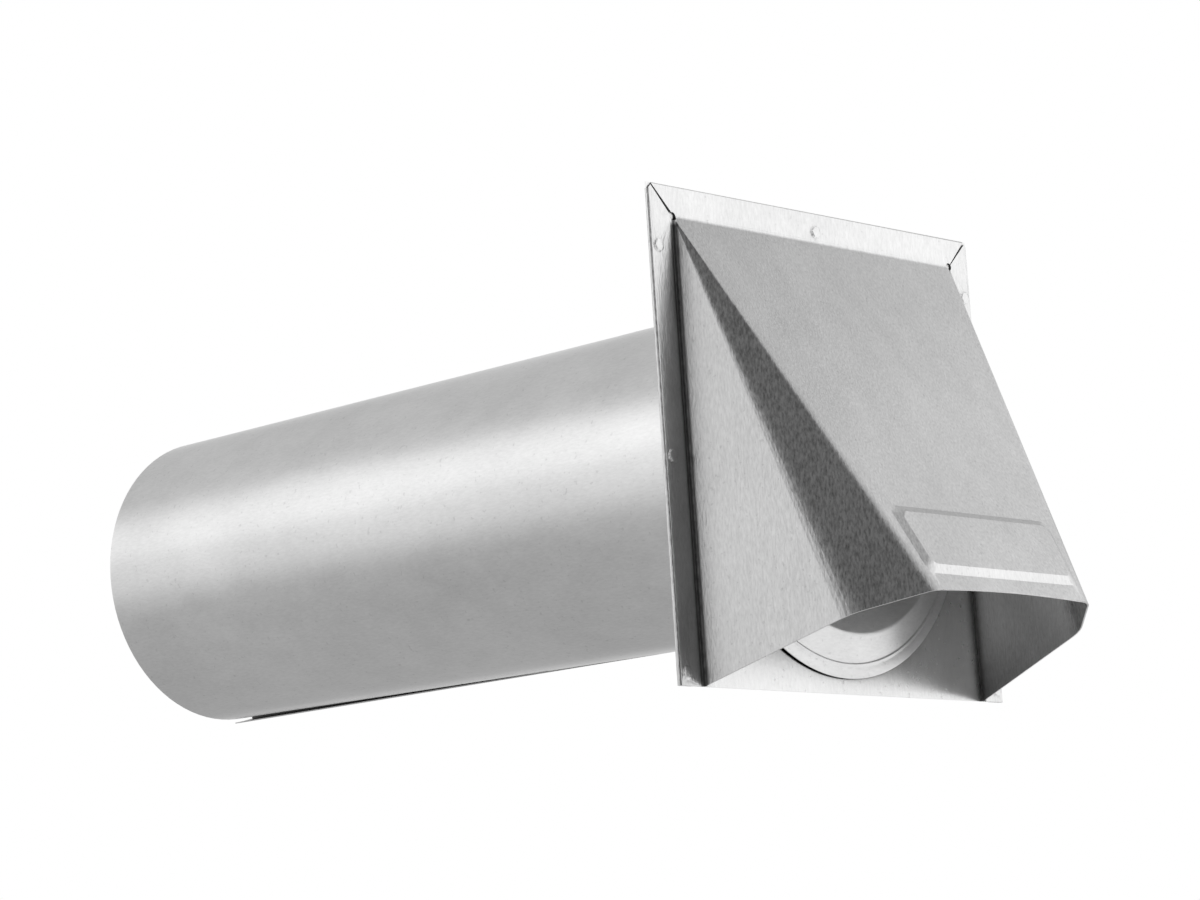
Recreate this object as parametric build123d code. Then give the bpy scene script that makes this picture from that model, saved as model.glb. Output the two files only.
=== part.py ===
# Dryer vent cap: a folded sheet hood on a square back plate, with a long tailpipe
# behind it and a dished flap hung on a wire across the mouth of the pipe.
# Millimetres. X to the right and Z up as seen from outside, Y into the wall.
# The origin is on the pipe's axis, in the plane of the wall.
from build123d import *
from math import acos, atan2, cos, dist, hypot, pi, radians, sin, sqrt, tan
import os

# Sheets and the clearance between two sheets that lie on each other
hood_sheet = 0.5
plate_sheet = 0.5
pipe_sheet = 0.5
flap_sheet = 0.5
lap_gap = 0.02

# Back plate, measured over the folded edges of the hood
plate_width = 152.4
plate_height = 148.4
plate_rise = 1.7            # centre of the plate above the axis of the pipe

# Hood
side_flange = 10.2          # width of the turned-out edge at each side
top_flange = 9.4            # and along the top
hem_leg = 6.0               # how far the folded edge reaches behind the plate
lip_reach = 65.4            # front edge of the hood from the wall
lip_width = 73.6
lip_height = 21.2           # front edge above the bottom edge of the plate
fold_width = 110.0          # across the two side folds, at the bottom edge of the hood
fold_reach = 48.4           # those folds from the wall
front_fold_radius = 7.0     # fold beside the top panel, at the lip
side_fold_radius = 16.0     # fold between the slanted corner and the side, at the bottom
bend_radius = 1.2           # bend between the sides and their turned-out edges
top_bend_radius = 3.0       # and at the top panel
lip_bow = 1.3               # the middle of the lip lies this much higher than its ends
corner_relief_radius = 1.3  # small hole at each upper corner, where three folds meet
mitre_wide = 1.1            # the two ends of the cut between two turned-out edges
mitre_narrow = 0.25
corner_clip = 2.2           # folded edges stop short of the plate's upper corners

# Raised field pressed into the top panel, above the lip
field_top_width = 76.0
field_bottom_width = 71.0
field_low = 6.0             # its lower and upper edges, up the slope from the lip
field_high = 30.0
field_raise = 1.1
field_slope_run = 2.6       # width of its slanted border
field_corner_radius = 3.0

# Small round shapes have this many flat sides, and each fold of the hood this many strips
round_sides = 12
fold_steps = 6

# Clinches that lock the folded edges to the plate
clinch_radius = 2.3
clinch_draft = 0.5          # how much narrower the top of a clinch is
clinch_raise = 0.55
clinch_inset = 3.2          # from the outer edge, at the sides
clinch_top_inset = 6.2      # and at the top
clinch_low = 3.8            # lowest pair above the bottom edge
clinch_mid = 66.8
clinch_high = 129.6

# Pipe
pipe_diameter = 101.6
pipe_end_diameter = 98.4    # at its open end, where the seam is drawn tighter
pipe_reach = 280.0          # open end from the wall
pipe_straight = 60.0        # length behind the wall before the pipe narrows
pipe_flange_width = 3.7     # edge turned out over the front of the plate
pipe_flare = 0.6            # its mouth, from the front to the wall, is this much larger
pipe_neck_gap = 0.1         # round that mouth in the plate
pipe_bead = 1.6             # height of the ring that holds the plate from behind
seam_angle = -78.0          # place of the long seam round the pipe, from +X
seam_width = 7.0
seam_sink = 0.1             # its outer lip lies this much inside the pipe's own size
seam_overhang = 2.0         # and runs on past the open end

# Flap
flap_diameter = 119.0
flap_drop = 8.4             # centre of the flap below the axis of the pipe
flap_rim_width = 3.9        # flat rim round the raised middle
flap_slope_run = 9.0        # width of the slanted wall
flap_raise = 3.8            # the middle stands this much forward of the rim
flap_seat_gap = 0.3         # between the rim and the turned-out edge of the pipe
knuckle_width = 12.0        # curled ears of the flap round the wire
knuckle_spacing = 44.0
knuckle_clearance = 0.08    # round the wire, for a running fit
knuckle_opening = 50.0      # degrees left open where the ear's end comes round

# Wire and the lugs that carry it
wire_diameter = 2.0
wire_drop = 11.8            # below the bend at the top of the hood
wire_overhang = 3.0         # from the outside of a lug to the middle of the bent end
wire_tail = 5.0             # length of each bent-down end
wire_corner = 1.2           # length cut off the corner of each bend
lug_spacing = 68.0
lug_margin = 1.2            # sheet round the wire's hole
lug_clearance = 0.05

# The hood is shaped between shares of the way from its top to its bottom edge
outside_start = 0.004
hollow_start = 0.02
hollow_end = 1.06
smallest_radius = 0.04
cut_over = 2.0              # cuts run this far past the sheet that they go through

# Levels across the sheets, from the wall outwards
plate_back = -hood_sheet - lap_gap
plate_front = plate_back - plate_sheet
flange_back = plate_front - lap_gap
flange_front = flange_back - hood_sheet

# Heights from the pipe's axis and half widths
plate_top = plate_rise + plate_height / 2
plate_bottom = plate_rise - plate_height / 2
hood_top = plate_top - top_flange
wire_height = hood_top - wire_drop
lip_z = plate_bottom + lip_height
half_plate = plate_width / 2
half_hood = half_plate - side_flange
half_lip = lip_width / 2
half_fold = fold_width / 2

pipe_radius = pipe_diameter / 2
pipe_flange_radius = pipe_radius + pipe_flange_width
pipe_flange_front = plate_front - lap_gap - pipe_sheet

wire_radius = wire_diameter / 2
knuckle_inner = wire_radius + knuckle_clearance
knuckle_outer = knuckle_inner + flap_sheet
lug_radius = wire_radius + lug_clearance + lug_margin
rim_back = pipe_flange_front - flap_seat_gap
rim_front = rim_back - flap_sheet
wire_y = rim_back - knuckle_outer

# The bottom edge of the hood lies in one slanted plane, and every level of the hood
# above it is the same outline, shrunk towards the two upper corners
edge_rise = atan2(lip_height, lip_reach + flange_front)
reach_along = (lip_reach + flange_front) / cos(edge_rise)
fold_along = (fold_reach + flange_front) / cos(edge_rise)

# Upright plane that looks out of the wall, and one across the hood for side views
facing = Plane(origin=(0, 0, 0), x_dir=(1, 0, 0), z_dir=(0, -1, 0))
sideways = Plane(origin=(0, 0, 0), x_dir=(0, 1, 0), z_dir=(1, 0, 0))


def box_between(low, high):
    """A box from its lowest to its highest corner."""
    size = [high[i] - low[i] for i in range(3)]
    centre = [(high[i] + low[i]) / 2 for i in range(3)]
    return Pos(*centre) * Box(*size)


def rectangle_between(low, high):
    """A rectangle from its lower left to its upper right corner."""
    centre = Pos((low[0] + high[0]) / 2, (low[1] + high[1]) / 2)
    return centre * Rectangle(high[0] - low[0], high[1] - low[1])


def flat_sided(plane, low, other_plane, high):
    """Solid with flat sides between two outlines with like corners, each in its plane."""
    low = [plane.from_local_coords((x, y, 0)) for x, y in low]
    high = [other_plane.from_local_coords((x, y, 0)) for x, y in high]
    faces = [make_face(Polyline(*low, close=True)), make_face(Polyline(*high, close=True))]
    for i in range(len(low)):
        side = Polyline(low[i - 1], low[i], high[i], high[i - 1], close=True)
        faces.append(make_face(side))
    return Solid(Shell(faces))


def level_plane(share):
    """The slanted plane at a share of the way from the hood's top to its bottom edge."""
    height = hood_top + share * (plate_bottom - hood_top)
    return Plane(
        origin=(0, flange_front, height),
        x_dir=(1, 0, 0),
        z_dir=(0, -sin(edge_rise), -cos(edge_rise)),
    )


def level_corners(share):
    """Left half of the hood's outline at that level, from the plate to the lip."""
    side = (half_hood, 0.0)
    fold = (half_hood + share * (half_fold - half_hood), share * fold_along)
    lip = (half_hood + share * (half_lip - half_hood), share * reach_along)
    return side, fold, lip


def inset_corner(before, corner, after, distance):
    """Move a corner of an outline inwards, so that both its sides move by distance."""
    a_length, b_length = dist(before, corner), dist(corner, after)
    ax, ay = (corner[0] - before[0]) / a_length, (corner[1] - before[1]) / a_length
    bx, by = (after[0] - corner[0]) / b_length, (after[1] - corner[1]) / b_length
    turn = 1 + ax * bx + ay * by
    nx, ny = (-ay - by) / turn, (ax + bx) / turn
    return corner[0] + nx * distance, corner[1] + ny * distance


def round_corner(before, corner, after, radius):
    """Points along the arc that rounds a corner of an outline."""
    a_length = dist(before, corner)
    b_length = dist(corner, after)
    ax, ay = (corner[0] - before[0]) / a_length, (corner[1] - before[1]) / a_length
    bx, by = (after[0] - corner[0]) / b_length, (after[1] - corner[1]) / b_length
    turn = acos(ax * bx + ay * by)
    # The way to the arc's centre, square to the first side
    mx, my = (bx - ax * cos(turn)) / sin(turn), (by - ay * cos(turn)) / sin(turn)
    reach = radius * tan(turn / 2)
    points = []
    for step in range(fold_steps + 1):
        angle = turn * step / fold_steps
        along, inwards = radius * sin(angle) - reach, radius * (1 - cos(angle))
        points.append((
            corner[0] + ax * along + mx * inwards, corner[1] + ay * along + my * inwards
        ))
    return points


def level_outline(share, inset, back):
    """Hood outline at one level, moved inwards by inset and carried back by back."""
    side, fold, lip = level_corners(share)
    mirrored_lip = (-lip[0], lip[1])
    before_side = (side[0], side[1] - 1)
    side_in = inset_corner(before_side, side, fold, inset)
    fold_in = inset_corner(side, fold, lip, inset)
    lip_in = inset_corner(fold, lip, mirrored_lip, inset)
    mirrored_in = (-lip_in[0], lip_in[1])
    # The side's own line is carried straight on to the plate
    half = [(half_hood - inset, min(side_in[1], 0.0) - back)]
    if inset > 0:
        half.append(side_in)
    fold_radius = max(side_fold_radius * share - inset, smallest_radius)
    lip_radius = max(front_fold_radius * share - inset, smallest_radius)
    half += round_corner(side_in, fold_in, lip_in, fold_radius)
    half += round_corner(fold_in, lip_in, mirrored_in, lip_radius)
    return half + [(-x, y) for x, y in reversed(half)]


def hood_body(inset, back, first, last):
    """Solid space inside the hood's outline between two levels."""
    return flat_sided(
        level_plane(first), level_outline(first, inset, back),
        level_plane(last), level_outline(last, inset, back),
    )


def flat_ring(outer, inner):
    """Ring with flat sides, as wide across two of them as across the round ring."""
    sides = Rot(0, 0, 180 / round_sides)
    return sides * (
        RegularPolygon(outer, round_sides, major_radius=False)
        - RegularPolygon(inner, round_sides, major_radius=False)
    )


def fold_section(start, edge):
    """Section of a turned-out edge: front leg, round edge and leg behind the plate."""
    outer = -flange_front / 2
    middle = edge - outer
    ring = flat_ring(outer, outer - hood_sheet)
    bend = Pos(middle, -outer) * (ring & rectangle_between((0, -outer), (outer, outer)))
    front = rectangle_between((start, flange_front), (middle, flange_back))
    back = rectangle_between((edge - hem_leg, -hood_sheet), (middle, 0))
    return bend + front + back


def corner_half(side, first, second):
    """Everything between two corners of the plate and its upper corner at one side."""
    triangle = make_face(Polyline((side * half_plate, plate_top), first, second, close=True))
    return extrude(Pos(0, cut_over, 0) * (facing * triangle), 2 * cut_over - flange_front)


def folded_edges():
    """The three turned-out edges, cut to a mitre at the two upper corners."""
    section = fold_section(half_hood - hood_sheet, half_plate)
    right = extrude(Pos(0, 0, plate_bottom) * section, plate_height)
    left = mirror(right, Plane.YZ)
    across = Plane(origin=(half_plate, 0, 0), x_dir=(0, 0, 1), z_dir=(-1, 0, 0))
    top = extrude(across * fold_section(hood_top - hood_sheet, plate_top), plate_width)
    for side in (1, -1):
        # Beyond the diagonal at each corner the side edge ends and the top edge begins
        far = side * (half_plate - plate_width)
        end = (far, plate_top - plate_width)
        above = corner_half(side, (far, plate_top), end)
        below = corner_half(side, (side * half_plate, plate_top - plate_width), end)
        top -= below
        if side > 0:
            right -= above
        else:
            left -= above
    return right + left + top


def mitre_cut(side, inner_width, outer_width):
    """Narrow wedge from the hood's corner to the plate's corner, through the edges."""
    reach = sqrt(2) * (side_flange + cut_over)
    wedge = make_face(Polyline(
        (0, -inner_width / 2), (reach, -outer_width / 2),
        (reach, outer_width / 2), (0, inner_width / 2), close=True,
    ))
    plane = Plane(
        origin=(side * half_hood, cut_over, hood_top),
        x_dir=(side * sqrt(0.5), 0, sqrt(0.5)),
        z_dir=(0, -1, 0),
    )
    return extrude(plane * wedge, 2 * cut_over - flange_front)


def corner_relief(side):
    """Small many-sided hole at the upper corner, through the edge that lies on the plate."""
    hole = Pos(side * half_hood, hood_top) * RegularPolygon(corner_relief_radius, round_sides)
    return extrude(Pos(0, cut_over, 0) * (facing * hole), 2 * cut_over - flange_front)


def corner_triangle(side, leg, back, front):
    """Triangle at an upper corner of the plate, between two levels."""
    corner = make_face(Polyline(
        (side * half_plate, plate_top),
        (side * (half_plate - leg), plate_top),
        (side * half_plate, plate_top - leg),
        close=True,
    ))
    return extrude(Pos(0, back, 0) * (facing * corner), back - front)


def panel_plane(depth):
    """Plane of the top panel, depth under its outer face, with its origin at the lip."""
    slope = atan2(lip_reach + flange_front, hood_top - lip_z)
    normal = (0, -cos(slope), sin(slope))
    origin = (0, -lip_reach - depth * normal[1], lip_z - depth * normal[2])
    return Plane(origin=origin, x_dir=(1, 0, 0), z_dir=normal)


def field_outline(shrink):
    """Outline of the raised field, moved inwards by shrink."""
    low, high = field_low + shrink, field_high - shrink
    lean = (field_top_width - field_bottom_width) / 2 / (field_high - field_low)
    low_half = field_bottom_width / 2 + lean * shrink - shrink * hypot(1, lean)
    high_half = field_top_width / 2 - lean * shrink - shrink * hypot(1, lean)
    corners = [(-low_half, low), (low_half, low), (high_half, high), (-high_half, high)]
    points = []
    for i, corner in enumerate(corners):
        after = corners[(i + 1) % len(corners)]
        points += round_corner(corners[i - 1], corner, after, field_corner_radius)
    return points


def raised_field(depth):
    """The field as a low block whose border slants, depth under the outer face."""
    base, foot = panel_plane(depth + hood_sheet), panel_plane(depth)
    crown = panel_plane(depth - field_raise)
    wide, narrow = field_outline(0), field_outline(field_slope_run)
    return flat_sided(foot, wide, crown, narrow) + flat_sided(base, wide, foot, wide)


def lip_cut():
    """Shallow arch cut out of the front edge of the top panel."""
    arc = ThreePointArc((-half_lip, 0), (0, lip_bow), (half_lip, 0))
    base = Polyline((half_lip, 0), (half_lip, -1), (-half_lip, -1), (-half_lip, 0))
    shape = make_face(Wire(arc.edges() + base.edges()))
    return extrude(panel_plane(cut_over) * shape, 2 * cut_over)


def clinch_places():
    """Middles of the clinches: three at each side and one at the top."""
    places = [(0.0, plate_top - clinch_top_inset)]
    for height in (clinch_low, clinch_mid, clinch_high):
        for side in (1, -1):
            places.append((side * (half_plate - clinch_inset), plate_bottom + height))
    return places


def clinch_button(radius):
    """Low frustum that stands out from the upright plane through the origin."""
    turns = [2 * pi * i / round_sides for i in range(round_sides)]
    foot = [(radius * cos(a), radius * sin(a)) for a in turns]
    top = radius - clinch_draft
    crown = [(top * cos(a), top * sin(a)) for a in turns]
    return flat_sided(facing, foot, facing.offset(clinch_raise), crown)


def clinch(shape, back, front):
    """Press the clinches into one sheet, between its back and front levels."""
    for x, z in clinch_places():
        shape += Pos(x, front, z) * clinch_button(clinch_radius - lap_gap)
        shape -= Pos(x, back, z) * clinch_button(clinch_radius)
    return shape


def bend_section(corner, first, second, radius):
    """Fills the corner between two directions, hollowed to a round bend."""
    turn = atan2(abs(first[0] * second[1] - first[1] * second[0]),
                 first[0] * second[0] + first[1] * second[1])
    reach = radius / tan(turn / 2)
    one = (corner[0] + first[0] * reach, corner[1] + first[1] * reach)
    two = (corner[0] + second[0] * reach, corner[1] + second[1] * reach)
    middle = ((one[0] + two[0]) / 2 - corner[0], (one[1] + two[1]) / 2 - corner[1])
    share = radius / sin(turn / 2) / hypot(*middle)
    centre = (corner[0] + middle[0] * share, corner[1] + middle[1] * share)
    # The block reaches half a sheet into both sheets, away from the bend's centre
    sink = hood_sheet / 2 / radius
    one_in = (one[0] + (one[0] - centre[0]) * sink, one[1] + (one[1] - centre[1]) * sink)
    two_in = (two[0] + (two[0] - centre[0]) * sink, two[1] + (two[1] - centre[1]) * sink)
    corner_in = (corner[0] + one_in[0] - one[0] + two_in[0] - two[0],
                 corner[1] + one_in[1] - one[1] + two_in[1] - two[1])
    block = make_face(Polyline(corner_in, one_in, one, centre, two, two_in, close=True))
    return block - Pos(*centre) * Circle(radius)


def side_bend(side):
    """Round bend between one side of the hood and its turned-out edge."""
    run, reach = half_hood - half_fold, fold_reach + flange_front
    length = hypot(run, reach)
    section = bend_section(
        (half_hood, flange_front), (1, 0), (-run / length, -reach / length), bend_radius
    )
    bend = extrude(Pos(0, 0, plate_bottom) * section, hood_top - plate_bottom)
    return bend if side > 0 else mirror(bend, Plane.YZ)


def top_bend():
    """Round bend between the top panel and its turned-out edge."""
    run, drop = lip_reach + flange_front, hood_top - lip_z
    length = hypot(run, drop)
    section = bend_section(
        (flange_front, hood_top), (0, 1), (-run / length, -drop / length), top_bend_radius
    )
    return extrude(Pos(-half_hood, 0, 0) * (sideways * section), 2 * half_hood)


def make_hood():
    """One folded sheet: top panel, slanted corners, sides and turned-out edges."""
    hood = hood_body(0, 0, outside_start, 1)
    hood += folded_edges() + side_bend(1) + side_bend(-1) + top_bend()
    hood += raised_field(0)
    hood -= hood_body(hood_sheet, cut_over, hollow_start, hollow_end)
    hood -= raised_field(hood_sheet)
    hood -= lip_cut()
    for side in (1, -1):
        inner, outer = (mitre_narrow, mitre_wide) if side > 0 else (mitre_wide, mitre_narrow)
        hood -= mitre_cut(side, inner, outer)
        hood -= corner_relief(side)
        hood -= corner_triangle(side, corner_clip, cut_over, flange_front - cut_over)
    return clinch(clinch(hood, flange_back, flange_front), 0, -hood_sheet)


def lug(side):
    """Round-ended ear bent out of the plate, with the hole that carries the wire."""
    half_sheet = plate_sheet / 2
    shape = box_between(
        (-half_sheet, wire_y, wire_height - lug_radius),
        (half_sheet, plate_front + half_sheet, wire_height + lug_radius),
    )
    turned = Pos(0, wire_y, wire_height) * Rot(0, 90, 0)
    shape += turned * Cylinder(lug_radius, plate_sheet)
    shape -= turned * Cylinder(wire_radius + lug_clearance, 2 * plate_sheet)
    return Pos(side * lug_spacing / 2, 0, 0) * shape


def lug_window(side):
    """Opening left in the plate where the ear was bent out."""
    tall = plate_front - wire_y + lug_radius
    start = (lug_spacing + plate_sheet) / 2
    low, high = sorted((side * start, side * (start + tall)))
    return box_between(
        (low, plate_front - cut_over, wire_height - lug_radius),
        (high, plate_back + cut_over, wire_height + lug_radius),
    )


def make_back_plate():
    """Square sheet inside the folded edges, with the pipe's hole and the wire's lugs."""
    margin = -flange_front / 2
    plate = box_between(
        (margin - half_plate, plate_front, plate_bottom),
        (half_plate - margin, plate_back, plate_top - margin),
    )
    for side in (1, -1):
        plate += corner_triangle(side, corner_clip - 2 * lap_gap, plate_back, plate_front)
    hole = Rot(90, 0, 0) * Cylinder(pipe_radius + pipe_flare + pipe_neck_gap, 2 * cut_over)
    plate -= Pos(0, plate_back, 0) * hole
    for side in (1, -1):
        plate -= lug_window(side)
        plate += lug(side)
    return clinch(plate, plate_back, plate_front)


def make_pipe():
    """Rolled pipe, its front edge turned out, with a ring behind the plate and a seam."""
    inner = pipe_radius - pipe_sheet
    neck = pipe_radius + pipe_flare
    bead = pipe_radius + pipe_bead
    flange_rear = pipe_flange_front + pipe_sheet
    bead_front = plate_back + lap_gap
    end = pipe_end_diameter / 2
    profile = make_face(Polyline(
        (neck - pipe_sheet, pipe_flange_front), (pipe_flange_radius, pipe_flange_front),
        (pipe_flange_radius, flange_rear), (neck, flange_rear), (neck, bead_front),
        (bead, bead_front), (bead, 0), (pipe_radius, 0), (pipe_radius, pipe_straight),
        (end, pipe_reach), (end - pipe_sheet, pipe_reach), (inner, pipe_straight),
        (inner, bead_front), (neck - pipe_sheet, bead_front), close=True,
    ))
    return revolve(profile, Axis.Y) + pipe_seam(inner, end)


def pipe_seam(inner, end):
    """Lock seam along the underside, whose outer lip stays out while the pipe narrows."""
    lip_start, lip_end = pipe_straight, pipe_reach + seam_overhang
    length = lip_end - lip_start
    ring = Rot(-90, 0, 0) * (
        Cylinder(pipe_radius - seam_sink, length) - Cylinder(inner, length)
    )
    ring = Pos(0, (lip_start + lip_end) / 2, 0) * ring
    lip = ring & box_between((0, lip_start, -seam_width / 2), (pipe_radius, lip_end, seam_width / 2))
    web = box_between((end - pipe_sheet, lip_start, seam_width / 2 - pipe_sheet),
                      (pipe_radius - pipe_sheet, pipe_reach, seam_width / 2))
    return Rot(0, -seam_angle, 0) * (lip + web)


def make_flap():
    """Pressed disc with a raised middle and a flat rim, and two ears round the wire."""
    radius = flap_diameter / 2
    corner = radius - flap_rim_width
    middle = corner - flap_slope_run
    raised = rim_front - flap_raise
    front = [(0, raised), (middle, raised), (corner, rim_front), (radius, rim_front)]
    # The back follows the front at the sheet's own thickness
    shift = flap_sheet * tan(atan2(flap_raise, flap_slope_run) / 2)
    behind = [
        (radius, rim_back), (corner - shift, rim_back),
        (middle - shift, raised + flap_sheet), (0, raised + flap_sheet),
    ]
    section = make_face(Polyline(*front, *behind, close=True))
    flap = Pos(0, 0, -flap_drop) * revolve(section, Axis.Y)
    for side in (1, -1):
        flap += Pos(side * knuckle_spacing / 2, 0, 0) * flap_ear()
    return flap


def flap_ear():
    """Strip that rises from the rim and curls forward over the wire."""
    rim_top = flap_diameter / 2 - flap_drop
    length = wire_height - rim_top + flap_rim_width
    ring = flat_ring(knuckle_outer, knuckle_inner)
    start = radians(-knuckle_opening)
    reach = 2 * knuckle_outer
    gap = make_face(Polyline(
        (0, 0), (reach, 0), (reach, -reach), (reach * cos(start), reach * sin(start)),
        close=True,
    ))
    stem = rectangle_between((knuckle_inner, -length), (knuckle_outer, 0))
    ear = (ring - gap) + stem
    place = Pos(-knuckle_width / 2, wire_y, wire_height)
    return extrude(place * (sideways * ear), knuckle_width)


def make_wire():
    """Straight wire through both lugs, with its ends bent down."""
    half = (lug_spacing + plate_sheet) / 2 + wire_overhang
    low = wire_height - wire_tail
    shoulder = wire_height - wire_corner
    path = Polyline(
        (-half, wire_y, low), (-half, wire_y, shoulder),
        (wire_corner - half, wire_y, wire_height), (half - wire_corner, wire_y, wire_height),
        (half, wire_y, shoulder), (half, wire_y, low),
    )
    section = Plane(path @ 0, z_dir=path % 0) * Circle(wire_radius)
    return sweep(section, path=path, transition=Transition.RIGHT)


parts = {
    "hood": make_hood,
    "back_plate": make_back_plate,
    "pipe": make_pipe,
    "flap": make_flap,
    "hinge_wire": make_wire,
}

if __name__ == "__main__":
    os.makedirs("parts", exist_ok=True)
    for name, make in parts.items():
        shape = make()
        export_step(shape, f"parts/{name}.step")
        print(name, "solids", len(shape.solids()), "volume", round(shape.volume))
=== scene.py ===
import math

import bmesh
import bpy
import numpy as np
from mathutils import Matrix


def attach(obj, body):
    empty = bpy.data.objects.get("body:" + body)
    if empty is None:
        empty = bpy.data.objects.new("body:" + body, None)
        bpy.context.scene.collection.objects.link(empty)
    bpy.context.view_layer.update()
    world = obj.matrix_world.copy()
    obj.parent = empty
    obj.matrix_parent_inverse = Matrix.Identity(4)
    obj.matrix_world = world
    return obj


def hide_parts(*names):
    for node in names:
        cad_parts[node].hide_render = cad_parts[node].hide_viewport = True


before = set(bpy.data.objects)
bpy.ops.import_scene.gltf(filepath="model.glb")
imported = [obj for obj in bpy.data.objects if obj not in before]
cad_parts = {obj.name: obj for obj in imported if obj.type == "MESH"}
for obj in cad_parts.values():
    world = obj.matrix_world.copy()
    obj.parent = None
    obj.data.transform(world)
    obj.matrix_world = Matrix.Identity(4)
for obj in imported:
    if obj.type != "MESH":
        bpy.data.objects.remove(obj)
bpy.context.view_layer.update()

scene = bpy.context.scene
scene.view_settings.view_transform = "Standard"
print("frame loaded")


class Sock:
    # A shader socket that takes part in sums: each operator adds its Math node.
    def __init__(self, tree, out):
        self.tree = tree
        self.out = out

    def math(self, kind, a, b=None):
        values = {i: v for i, v in enumerate((a, b)) if v is not None}
        return Sock(self.tree, node(self.tree, "ShaderNodeMath", {"operation": kind}, values).outputs[0])

    def __add__(self, other): return self.math("ADD", self, other)
    def __radd__(self, other): return self.math("ADD", other, self)
    def __sub__(self, other): return self.math("SUBTRACT", self, other)
    def __rsub__(self, other): return self.math("SUBTRACT", other, self)
    def __mul__(self, other): return self.math("MULTIPLY", self, other)
    def __rmul__(self, other): return self.math("MULTIPLY", other, self)
    def __truediv__(self, other): return self.math("DIVIDE", self, other)

    def only(self, kind):
        return self.math(kind, self)

    def clamp(self):
        return self.math("MINIMUM", self.math("MAXIMUM", self, 0.0), 1.0)

    # 0 below low, 1 above high, and a smooth step between: t t (3 - 2 t)
    def smooth(self, low, high):
        t = ((self - low) / (high - low)).clamp()
        return t * t * (3.0 - 2.0 * t)


def node(tree, kind, settings=None, values=None):
    # Any node: its type, its settings first, then the values or links of its sockets
    made = tree.nodes.new(kind)
    for key, value in (settings or {}).items():
        setattr(made, key, value)
    for key, value in (values or {}).items():
        if isinstance(value, Sock):
            tree.links.new(value.out, made.inputs[key])
        else:
            made.inputs[key].default_value = value
    return made


def newMaterial(name):
    material = bpy.data.materials.new(name)
    material.use_nodes = True
    tree = material.node_tree
    tree.nodes.clear()
    return material, tree


# How strong each finer layer of a noise is against the one before
noiseRoughness = 0.6

# Sheet metal straight from the mill. Sizes are in millimetres, shares are of the full tone
millFinish = {
    "colour": (0.80, 0.80, 0.80),
    "roughness": 0.33,
    "mottleRough": 0.12,
    "speckRough": 0.06,
    "grainSize": 0.65,
    "grainDetail": 2.0,
    "grainStretch": 3.5,
    "grainShade": 0.22,
    "grainDepth": 0.075,
    "mottleSize": 11.0,
    "mottleDetail": 4.0,
    "mottleShade": 0.13,
    "mottleHeight": 1.2,
    "mottleStretch": 0.3,
    "speckSize": 1.5,
    "speckStep": (0.66, 0.76),
    "speckShade": 0.10,
    "driftSize": 60.0,
    "driftShade": 0.10,
    "waveSize": 45.0,
    "waveDepth": 0.12,
    # Painted shade in creases: ambient occlusion within this reach, in millimetres, darkens the base colour
    # by this share over this step
    "paintedCreaseReach": 5.0,
    "paintedCreaseShade": 0.9,
    "paintedCreaseStep": (0.45, 0.88),
}
sheets = {
    "hood": {
        # The hood gets a lighter painted shade in its creases than the other sheets
        "name": "hoodSheet", "along": 2, "paintedCreaseReach": 3.0, "paintedCreaseShade": 0.6,
        # Painted glints: grain raised on the slanted corners, and lowered on the flanges that face straight
        # out as if washed out by light
        "cornerGlintGrain": 3.0, "cornerStep": (0.55, 0.85), "flangeGrain": -0.3, "flangeStep": (0.92, 0.985),
        # Painted shadow along the groove where the hood's side bends out to its flange
        "groove": (66.1, -1.9, 65.0), "grooveWide": (0.7, 1.7), "grooveShade": 0.80, "grooveEnd": 1.5,
        "grooveSide": (-40.0, -5.0),
    },
    "back_plate": {
        "name": "plateSheet", "along": 2, "grainDepth": 0.02, "grainShade": 0.08, "roughness": 0.24,
    },
    "pipe": {
        "name": "pipeSheet", "along": 1, "grainShade": 0.10, "grainDepth": 0.015, "waveDepth": 0.05,
        "mottleHeight": 0.8,
    },
    "flap": {"name": "flapSheet", "along": 0, "mottleShade": 0.18, "grainDepth": 0.02, "grainShade": 0.10},
    "hinge_wire": {"name": "drawnWire", "along": 0, "colour": (0.60, 0.60, 0.61)},
}


def noise(tree, place, size, detail=1.0, stretch=(1.0, 1.0, 1.0)):
    # Perlin noise whose bumps are about size millimetres across, times stretch along each axis
    scale = tuple(1.0 / v for v in stretch)
    spread = node(tree, "ShaderNodeMapping", None, {"Vector": place, "Scale": scale})
    return Sock(tree, node(tree, "ShaderNodeTexNoise", None, {
        "Vector": Sock(tree, spread.outputs[0]), "Scale": 1000.0 / size, "Detail": detail,
        "Roughness": noiseRoughness,
    }).outputs["Fac"])


def facing(tree, place):
    # The parts of the normal, and of the place in millimetres
    normal = Sock(tree, node(tree, "ShaderNodeTexCoord").outputs["Normal"])
    both = [node(tree, "ShaderNodeSeparateXYZ", None, {0: vector}) for vector in (normal, place)]
    turned, placed = ([Sock(tree, split.outputs[i]) for i in range(3)] for split in both)
    return turned + [part * 1000.0 for part in placed]


def glintGrain(parts, look):
    # The grain is the sheet's own. Its share is raised on the slanted corners, where 2 |nx ny| passes a
    # step, as painted glints that stand in for the sparkle of their reflections, and lowered on the
    # turned-out edges, which face straight out, where it stands in for a highlight that washes the grain out
    nx, ny = parts[:2]
    corner = (nx * ny * 2.0).only("ABSOLUTE").smooth(*look["cornerStep"])
    flange = (-1.0 * ny).smooth(*look["flangeStep"])
    return 1.0 + corner * look["cornerGlintGrain"] + flange * look["flangeGrain"]


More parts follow.
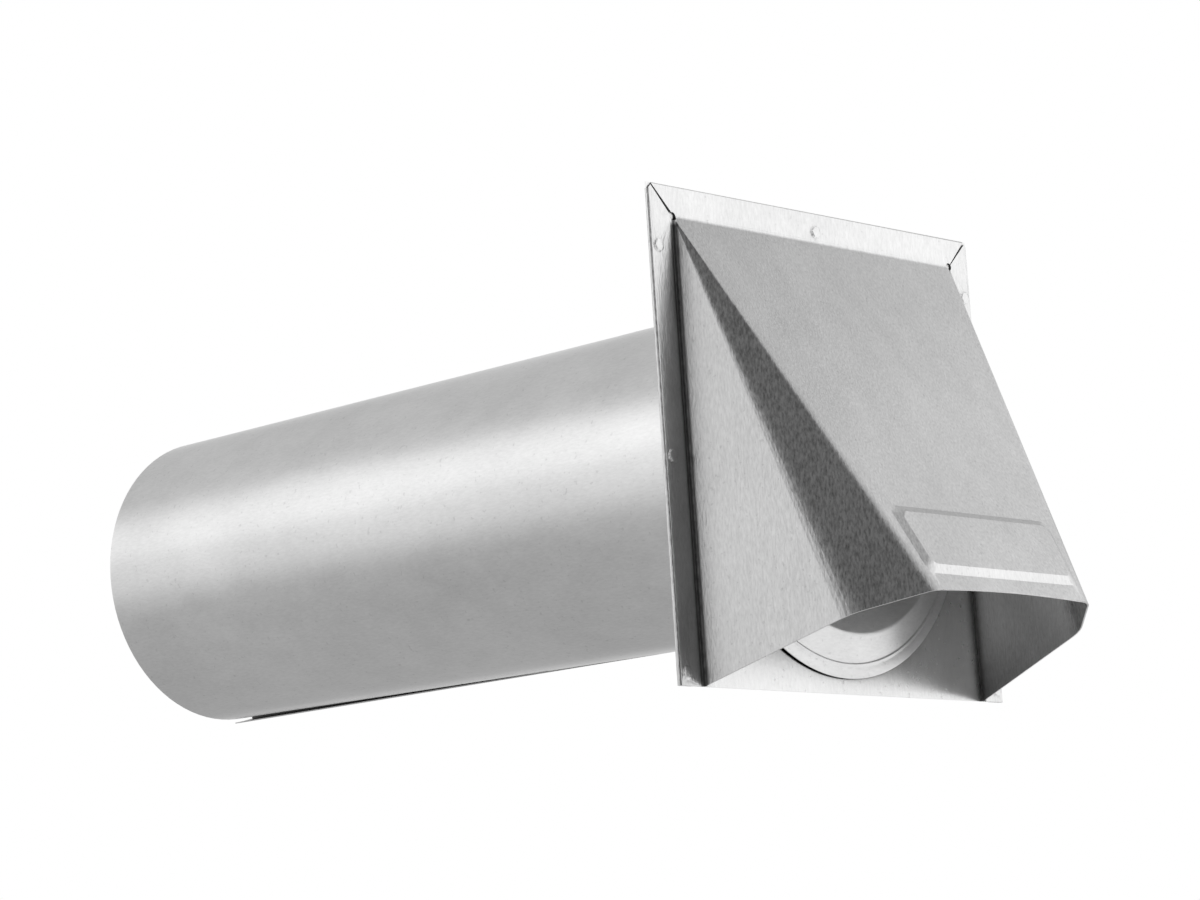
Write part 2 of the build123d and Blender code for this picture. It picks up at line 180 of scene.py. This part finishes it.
def grooveShade(parts, look):
    # Painted shadow in the bend: dark near the line at |x| and y, by a smooth step of the distance from it.
    # It fades out below the line's top, and where nx times x says that the face looks inwards
    nx, x, y, z = parts[0], *parts[3:]
    lineX, lineY, top = look["groove"]
    across, deep = x.only("ABSOLUTE") - lineX, y - lineY
    near = 1.0 - (across * across + deep * deep).only("SQRT").smooth(*look["grooveWide"])
    below = 1.0 - z.smooth(top - look["grooveEnd"], top)
    return 1.0 - look["grooveShade"] * near * (nx * x).smooth(*look["grooveSide"]) * below


def sheetMetal(look):
    # Tone = colour x (1 + grain + mottle + drift - specks) x (painted shade where creases close in, and on
    # the hood a painted shadow along the groove). The surface follows grain and mottle on a long low wave
    material, tree = newMaterial(look["name"])
    place = Sock(tree, node(tree, "ShaderNodeTexCoord").outputs["Object"])
    stretch = [1.0, 1.0, 1.0]
    stretch[look["along"]] = look["grainStretch"]
    grain = noise(tree, place, look["grainSize"], look["grainDetail"], stretch) - 0.5
    lesser = [1.0 + (v - 1.0) * look["mottleStretch"] for v in stretch]
    mottle = noise(tree, place, look["mottleSize"], look["mottleDetail"], lesser) - 0.5
    speck = noise(tree, place, look["speckSize"]).smooth(*look["speckStep"])
    drift = noise(tree, place, look["driftSize"]) - 0.5
    wave = noise(tree, place, look["waveSize"])
    # Painted shade: the base colour darkens where ambient occlusion finds faces close by, in creases and
    # folds
    openness = Sock(tree, node(tree, "ShaderNodeAmbientOcclusion", {"samples": 4}, {
        "Distance": look["paintedCreaseReach"] / 1000.0,
    }).outputs["AO"])
    paintedShade = 1.0 - (1.0 - openness.smooth(*look["paintedCreaseStep"])) * look["paintedCreaseShade"]
    grainShare = look["grainShade"] * 2.0
    if "groove" in look:
        parts = facing(tree, place)
        # Painted glints: the grain's share follows which way the face looks
        grainShare = grainShare * glintGrain(parts, look)
        # Painted shadow along the groove, on top of the painted crease shade
        paintedShade = paintedShade * grooveShade(parts, look)
    shade = 1.0 + grain * grainShare + mottle * look["mottleShade"] * 2.0 - speck * look["speckShade"]
    shade = shade + drift * look["driftShade"] * 2.0
    colour = node(tree, "ShaderNodeVectorMath", {"operation": "SCALE"}, {
        0: look["colour"], "Scale": shade * paintedShade,
    })
    waves = node(tree, "ShaderNodeBump", None, {"Height": wave, "Distance": look["waveDepth"] / 1000.0})
    bump = node(tree, "ShaderNodeBump", None, {
        "Height": grain + mottle * look["mottleHeight"], "Distance": look["grainDepth"] / 1000.0,
        "Normal": Sock(tree, waves.outputs[0]),
    })
    shader = node(tree, "ShaderNodeBsdfPrincipled", None, {
        "Base Color": Sock(tree, colour.outputs[0]),
        "Metallic": 1.0,
        "Roughness": look["roughness"] + mottle * look["mottleRough"] + speck * look["speckRough"],
        "Normal": Sock(tree, bump.outputs[0]),
    })
    node(tree, "ShaderNodeOutputMaterial", None, {"Surface": Sock(tree, shader.outputs[0])})
    return material


finishes = {name: sheetMetal({**millFinish, **look}) for name, look in sheets.items()}
for name, finish in finishes.items():
    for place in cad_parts[name].material_slots:
        place.material = finish
print("materials made")


def addMesh(name, points, faces, material):
    mesh = bpy.data.meshes.new(name)
    mesh.from_pydata(points.reshape(-1, 3).tolist(), [], faces)
    mesh.materials.append(material)
    made = bpy.data.objects.new(name, mesh)
    scene.collection.objects.link(made)
    return made


def gridFaces(rows, columns):
    # Quads between neighbours of a grid of points
    i, j = np.meshgrid(np.arange(rows - 1), np.arange(columns - 1), indexing="ij")
    first = (i * columns + j).ravel()
    return np.stack([first, first + 1, first + columns + 1, first + columns], axis=1).tolist()


# Points closer than this, in metres, become one
weldDistance = 1e-6

# Sheets whose folds are finished. Steps between faces under sharpFrom degrees shade as one curve;
# a step between the two angles of softSteps is rounded over softWide millimetres first, after
# faces that lie within flatWithin degrees of each other are joined
dressed = {
    "hood": {"piece": "hoodDressed", "body": "cap", "slot": "hood_sheet", "sharpFrom": 17.0,
             "softSteps": (21.5, 24.5), "softWide": 0.8, "softSegments": 4, "flatWithin": 0.3},
    "back_plate": {"piece": "plateDressed", "body": "cap", "slot": "plate_sheet", "sharpFrom": 17.0},
}


def dressSheet(name, look):
    # A merged copy of the solid's skin: flat areas joined to one face each, soft steps rounded, and
    # each normal the mean of the smooth faces round it, weighted by their area
    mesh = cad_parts[name].data.copy()
    mesh.name = look["piece"]
    work = bmesh.new()
    work.from_mesh(mesh)
    bmesh.ops.remove_doubles(work, verts=work.verts, dist=weldDistance)
    if "softSteps" in look:
        bmesh.ops.dissolve_limit(work, angle_limit=math.radians(look["flatWithin"]),
                                 verts=work.verts, edges=work.edges)
        low, high = (math.radians(v) for v in look["softSteps"])
        steps = [e for e in work.edges if e.is_manifold and low < e.calc_face_angle() < high]
        print("soft steps", len(steps))
        bmesh.ops.bevel(work, geom=steps, offset=look["softWide"] / 1000.0, offset_type="OFFSET",
                        segments=look["softSegments"], profile=0.5, affect="EDGES", clamp_overlap=True)
        bmesh.ops.triangulate(work, faces=work.faces)
    print(look["piece"], len(work.faces), "faces,", sum(not e.is_manifold for e in work.edges), "open edges")
    work.to_mesh(mesh)
    work.free()
    mesh.materials.clear()
    mesh.materials.append(finishes[name])
    mesh.shade_smooth()
    mesh.set_sharp_from_angle(angle=math.radians(look["sharpFrom"]))
    piece = bpy.data.objects.new(look["piece"], mesh)
    scene.collection.objects.link(piece)
    shade = piece.modifiers.new("shade", "WEIGHTED_NORMAL")
    shade.weight, shade.keep_sharp = 100, True
    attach(piece, look["body"])
    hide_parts(name)


for name, look in dressed.items():
    dressSheet(name, look)
print("sheets dressed")


# Flap, in millimetres: the front of its profile as distance from the middle and level, each corner
# with the radius of its bend. The rim leans back a little, and a fine ridge parts it from the wall
flapLook = {
    "drop": 8.4,
    "profile": [
        (0.0, -4.6, 0.0), (15.0, -4.76, 8.0), (31.0, -5.28, 8.0), (46.6, -6.14, 0.8),
        (54.7, -2.72, 0.3), (55.4, -2.80, 0.3), (56.1, -2.34, 0.4), (59.3, -2.08, 0.0),
    ],
    "sheet": 0.48,
    "spokes": 180,
    "bendSteps": 7,
    "edgeSteps": 7,
    "sharpFrom": 40.0,
    "wire": (-3.42, 54.7),
    "earInner": 1.08,
    "earOuter": 1.58,
    "earTurn": 310.0,
    "earSteps": 40,
    "earFoot": 0.05,
    "earStem": 7.5,
    "earWidth": 12.0,
    "earAt": 22.0,
}


def roundedLine(corners, steps):
    # Each corner of a polyline becomes a quadratic curve from radius before it to radius after it
    points = [np.array(corners[0][:2])]
    for before, (x, y, radius), after in zip(corners, corners[1:], corners[2:]):
        here = np.array([x, y])
        a, b = (np.array(other[:2]) - here for other in (before, after))
        a, b = (here + radius * v / np.linalg.norm(v) for v in (a, b))
        t = np.linspace(0.0, 1.0, steps)[:, None]
        points.extend((1 - t) ** 2 * a + 2 * t * (1 - t) * here + t ** 2 * b)
    points.append(np.array(corners[-1][:2]))
    return np.array(points)


def makeFlap(look):
    # Disc: the profile goes out along the front, round the edge and back at one sheet's thickness,
    # and is carried round the middle. Ears: a stem and an arc round the wire, carried sideways
    front = roundedLine(look["profile"], look["bendSteps"])
    along = np.gradient(front, axis=0)
    along /= np.linalg.norm(along, axis=1)[:, None]
    square = np.stack([-along[:, 1], along[:, 0]], axis=1)
    back = front + look["sheet"] * square
    back[0, 0] = 0.0
    turn = np.linspace(0.0, np.pi, look["edgeSteps"])[1:-1, None]
    middle, half = (front[-1] + back[-1]) / 2, (front[-1] - back[-1]) / 2
    edge = middle + np.cos(turn) * half + np.sin(turn) * along[-1] * look["sheet"] / 2
    line = np.concatenate([front, edge, back[::-1]])
    spokes = np.linspace(0.0, 2 * np.pi, look["spokes"] + 1)[None, :]
    out, level = line[:, :1], line[:, 1:]
    disc = np.stack([out * np.cos(spokes), level + 0 * spokes, out * np.sin(spokes) - look["drop"]], axis=-1)
    points = [disc.reshape(-1, 3)]
    faces = gridFaces(len(line), look["spokes"] + 1)
    bend = np.radians(np.linspace(0.0, look["earTurn"], look["earSteps"]))
    outer, inner = look["earOuter"], look["earInner"]
    arc = np.stack([np.cos(bend), np.sin(bend)], axis=1)
    foot = np.array([[outer - look["earFoot"], -look["earStem"]],
                     [inner + look["earFoot"], -look["earStem"]]])
    section = np.concatenate([foot[:1], arc * outer, arc[::-1] * inner, foot[1:]]) + np.array(look["wire"])
    for side in (-1, 1):
        across = [side * look["earAt"] + end * look["earWidth"] / 2 for end in (-1, 1)]
        ends = [np.column_stack([np.full(len(section), x), section]) for x in across]
        first, count = sum(len(p) for p in points), len(section)
        points.extend(ends)
        faces += [[first + i, first + (i + 1) % count, first + count + (i + 1) % count, first + count + i]
                  for i in range(count)]
        faces += [list(range(first + count - 1, first - 1, -1)),
                  list(range(first + count, first + 2 * count))]
    piece = addMesh("flapDressed", np.concatenate(points) / 1000.0, faces, finishes["flap"])
    work = bmesh.new()
    work.from_mesh(piece.data)
    bmesh.ops.remove_doubles(work, verts=work.verts, dist=weldDistance)
    bmesh.ops.recalc_face_normals(work, faces=work.faces)
    print("flap", len(work.faces), "faces,", sum(not e.is_manifold for e in work.edges), "open edges")
    work.to_mesh(piece.data)
    work.free()
    piece.data.shade_smooth()
    piece.data.set_sharp_from_angle(angle=math.radians(look["sharpFrom"]))
    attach(piece, "flap")
    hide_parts("flap")


makeFlap(flapLook)
print("flap made")


# Camera, fitted to the corners and outlines of the object
cameraLook = {
    "focalPixels": 3814.8,
    "imageWide": 1200,
    "sensorWide": 36.0,
    "clip": (0.05, 50.0),
    "turn": (1.28051866, -0.59768854, 0.62701473),
    "shift": (0.0899757594, 0.0246204504, 1.15904157),
    "lensShift": (0.0567, -0.0617),
}


def makeCamera(look):
    # A point p lands at R p + shift, with rows right, down and forward; R turns about the axis
    # "turn" by that vector's length
    angle = math.sqrt(sum(v * v for v in look["turn"]))
    turn = Matrix.Rotation(angle, 3, [v / angle for v in look["turn"]])
    rows = np.array(turn)
    centre = -rows.T @ np.array(look["shift"])
    axes = np.array([rows[0], -rows[1], -rows[2]]).T
    camera = bpy.data.objects.new("camera", bpy.data.cameras.new("camera"))
    camera.data.sensor_width = look["sensorWide"]
    camera.data.lens = look["focalPixels"] * look["sensorWide"] / look["imageWide"]
    camera.data.shift_x, camera.data.shift_y = look["lensShift"]
    camera.data.clip_start, camera.data.clip_end = look["clip"]
    matrix = np.eye(4)
    matrix[:3, :3] = axes
    matrix[:3, 3] = centre
    camera.matrix_world = Matrix(matrix.tolist())
    scene.collection.objects.link(camera)
    scene.camera = camera


makeCamera(cameraLook)


# Studio: a pale floor, a white backdrop, two large soft lamps, and a grey tent that only the
# metal sees. Directions are azimuth from +Y towards +X, then height, in degrees
studio = {
    "centre": (0.0, 0.10, 0.0),
    "floorHeight": -0.16,
    "floorReach": 8.0,
    "floorColour": (0.80, 0.80, 0.80),
    "plainLight": 0.85,
    "tentGrey": 0.58,
    "tentRadius": 4.0,
    "tentGrid": (33, 65),
    "tentPatches": [
        {"azimuth": 0, "height": -90, "inner": 76, "outer": 86, "grey": 0.45},
        {"azimuth": 116, "height": -24, "inner": 26, "outer": 46, "grey": 1.05},
        {"azimuth": 306, "height": 16, "inner": 12, "outer": 36, "grey": 0.95},
        {"azimuth": 288, "height": 6, "inner": 6, "outer": 28, "grey": 0.78},
        {"azimuth": 104, "height": 30, "inner": 10, "outer": 26, "grey": 0.70},
        {"azimuth": 104, "height": 64, "inner": 14, "outer": 30, "grey": 0.30},
        {"azimuth": 131, "height": 6, "inner": 20, "outer": 36, "grey": 0.95},
        {"azimuth": 222, "height": 36, "inner": 18, "outer": 50, "grey": 0.14},
        {"azimuth": 205, "height": 2, "inner": 16, "outer": 40, "grey": 0.08},
        {"azimuth": 50, "height": 8, "inner": 14, "outer": 26, "grey": 1.0},
    ],
}
lamps = {
    "softLeft": {"azimuth": 314, "height": 25, "distance": 3.0, "wide": 2.2, "tall": 1.3, "radiance": 0.32},
    "softRight": {"azimuth": 131, "height": 12, "distance": 3.0, "wide": 2.4, "tall": 2.2, "radiance": 0.26},
}


def towards(azimuth, height):
    a, h = math.radians(azimuth), math.radians(height)
    return np.array([math.sin(a) * math.cos(h), math.cos(a) * math.cos(h), math.sin(h)])


def patchGrey(tree, centre, grey, patches):
    # Brightness by direction from the centre: grey, pulled towards each patch's own grey by a
    # smooth ramp of the angle from the patch's middle
    place = Sock(tree, node(tree, "ShaderNodeTexCoord").outputs["Object"])
    offset = node(tree, "ShaderNodeVectorMath", {"operation": "SUBTRACT"}, {0: place, 1: centre})
    line = node(tree, "ShaderNodeVectorMath", {"operation": "NORMALIZE"}, {0: Sock(tree, offset.outputs[0])})
    for patch in patches:
        dot = Sock(tree, node(tree, "ShaderNodeVectorMath", {"operation": "DOT_PRODUCT"}, {
            0: Sock(tree, line.outputs[0]), 1: towards(patch["azimuth"], patch["height"])}).outputs["Value"])
        outer, inner = (math.cos(math.radians(patch[key])) for key in ("outer", "inner"))
        grey = grey + dot.smooth(outer, inner) * (patch["grey"] - grey)
    return node(tree, "ShaderNodeEmission", None, {"Color": (1.0, 1.0, 1.0, 1.0), "Strength": grey})


def makeFloor(look):
    # Flat square: x and y from -reach to reach at one height. It is clear from below, and metal
    # sees the tent instead
    material, tree = newMaterial("floorPaint")
    paint = node(tree, "ShaderNodeBsdfDiffuse", None, {"Color": (*look["floorColour"], 1.0)})
    clear = node(tree, "ShaderNodeBsdfTransparent")
    side = node(tree, "ShaderNodeNewGeometry")
    both = node(tree, "ShaderNodeMixShader", None, {
        0: Sock(tree, side.outputs["Backfacing"]),
        1: Sock(tree, paint.outputs[0]),
        2: Sock(tree, clear.outputs[0]),
    })
    node(tree, "ShaderNodeOutputMaterial", None, {"Surface": Sock(tree, both.outputs[0])})
    ends = [-look["floorReach"], look["floorReach"]]
    x, y = np.meshgrid(ends, ends)
    points = np.stack([x, y, np.full_like(x, look["floorHeight"])], axis=-1)
    floor = addMesh("floor", points, gridFaces(2, 2), material)
    floor.visible_glossy = False


def makeTent(look):
    # Sphere of points centre + radius x direction, seen by metal alone
    rows, columns = look["tentGrid"]
    across, up = np.meshgrid(np.linspace(0, 2 * np.pi, columns), np.linspace(-np.pi / 2, np.pi / 2, rows))
    points = np.stack([np.sin(across) * np.cos(up), np.cos(across) * np.cos(up), np.sin(up)], axis=-1)
    material, tree = newMaterial("tentGlow")
    glow = patchGrey(tree, look["centre"], look["tentGrey"], look["tentPatches"])
    node(tree, "ShaderNodeOutputMaterial", None, {"Surface": Sock(tree, glow.outputs[0])})
    points = points * look["tentRadius"] + np.array(look["centre"])
    tent = addMesh("tent", points, gridFaces(rows, columns), material)
    tent.visible_camera = tent.visible_diffuse = tent.visible_shadow = False


def makeWorld(look):
    # White to the camera, and to metal and glass; an even plain light for all else
    world = bpy.data.worlds.new("studio")
    world.use_nodes = True
    tree = world.node_tree
    tree.nodes.clear()
    path = node(tree, "ShaderNodeLightPath")
    seen = Sock(tree, path.outputs["Is Camera Ray"]) + Sock(tree, path.outputs["Is Glossy Ray"])
    seen = (seen + Sock(tree, path.outputs["Is Transmission Ray"])).clamp()
    strength = seen * (1.0 - look["plainLight"]) + look["plainLight"]
    back = node(tree, "ShaderNodeBackground", None, {"Color": (1.0, 1.0, 1.0, 1.0), "Strength": strength})
    node(tree, "ShaderNodeOutputWorld", None, {"Surface": Sock(tree, back.outputs[0])})
    scene.world = world


def makeLamp(name, look):
    # A soft lamp that faces the object; its power follows from its size and how bright it looks
    lamp = bpy.data.lights.new(name, "AREA")
    lamp.shape = "RECTANGLE"
    lamp.size, lamp.size_y = look["wide"], look["tall"]
    lamp.energy = look["radiance"] * math.pi * look["wide"] * look["tall"]
    back = towards(look["azimuth"], look["height"])
    side = np.cross([0, 0, 1], back)
    side /= np.linalg.norm(side)
    matrix = np.eye(4)
    matrix[:3, :3] = np.array([side, np.cross(back, side), back]).T
    matrix[:3, 3] = np.array(studio["centre"]) + back * look["distance"]
    holder = bpy.data.objects.new(name, lamp)
    holder.matrix_world = Matrix(matrix.tolist())
    scene.collection.objects.link(holder)


makeFloor(studio)
makeTent(studio)
makeWorld(studio)
for name, look in lamps.items():
    makeLamp(name, look)
print("studio made")
